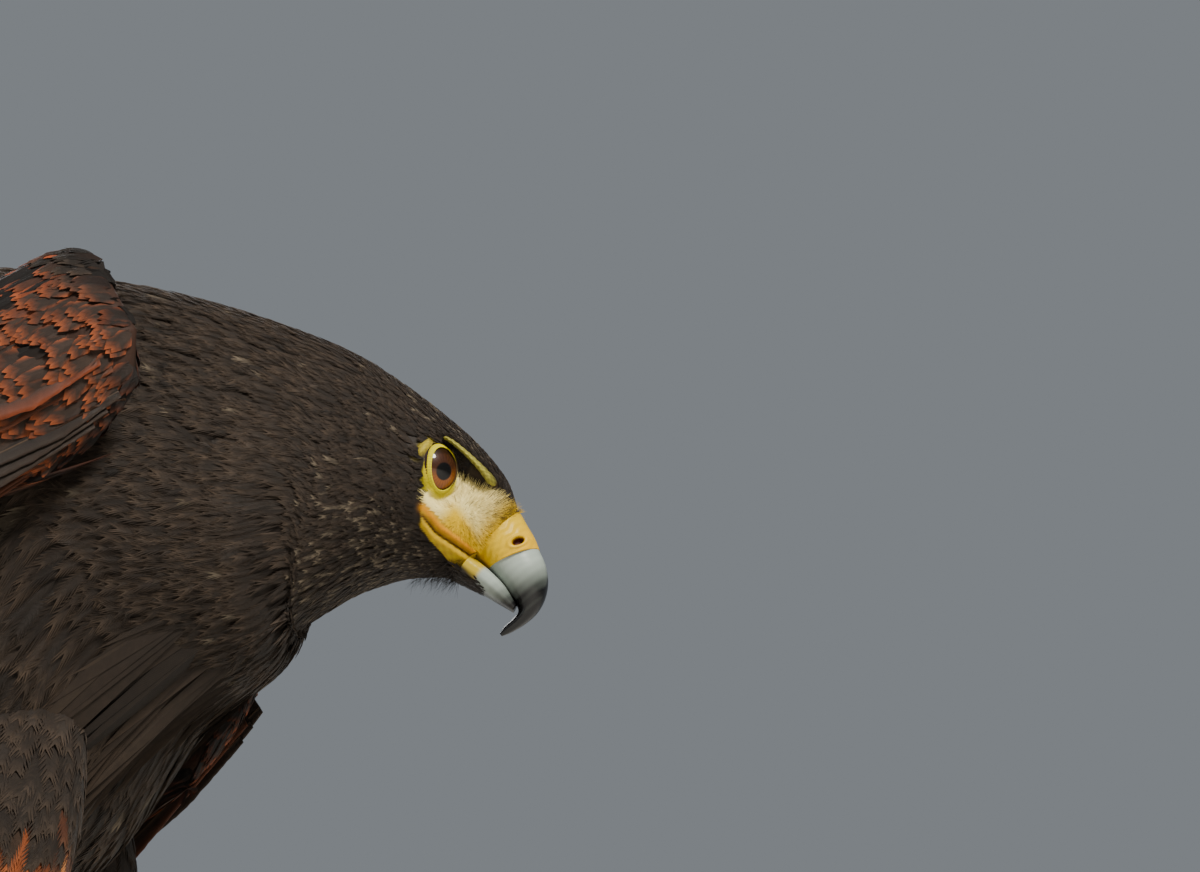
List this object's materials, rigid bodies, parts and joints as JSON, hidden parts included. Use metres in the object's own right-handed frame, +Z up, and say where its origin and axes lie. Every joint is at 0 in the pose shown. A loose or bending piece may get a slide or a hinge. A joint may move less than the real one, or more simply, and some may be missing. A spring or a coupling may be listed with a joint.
{
  "type": "harris hawk model",
  "caption": "Life-size still model of a Harris's hawk that stands on both feet, leans forward and looks down, wings half folded and held off the body.",
  "frame": {"origin": "middle of the bounding box's footprint, on the floor", "axes": "+X the way the body heads, +Y the bird's left, +Z up"},
  "size_m": [0.4198, 0.1908, 0.3349],
  "materials": {
    "plumage": "dark brown body feathers with paler edges",
    "shoulder": "chestnut wing coverts over dark flight feathers",
    "thigh": "rufous thigh feathers",
    "tail": "blackish tail feathers with white base and tip",
    "cere": "smooth orange-yellow skin",
    "horn": "blue-grey horn, darkening to the tip",
    "eye": "dark brown eye, wet gloss",
    "scales": "yellow scaled skin",
    "claw": "polished black horn"
  },
  "bodies": {
    "root": {"head": "plumage", "cere": "cere", "bill_upper": "horn", "bill_lower": "horn", "neck": "plumage", "torso": "plumage", "tail": "tail", "eye_right": "eye", "wing_right": "shoulder", "thigh_right": "thigh", "shank_right": "scales", "foot_right": "scales", "toe_inner_right": "scales", "claw_inner_right": "claw", "toe_middle_right": "scales", "claw_middle_right": "claw", "toe_outer_right": "scales", "claw_outer_right": "claw", "toe_hind_right": "scales", "claw_hind_right": "claw", "eye_left": "eye", "wing_left": "shoulder", "thigh_left": "thigh", "shank_left": "scales", "foot_left": "scales", "toe_inner_left": "scales", "claw_inner_left": "claw", "toe_middle_left": "scales", "claw_middle_left": "claw", "toe_outer_left": "scales", "claw_outer_left": "claw", "toe_hind_left": "scales", "claw_hind_left": "claw"}
  },
  "joints": []
}
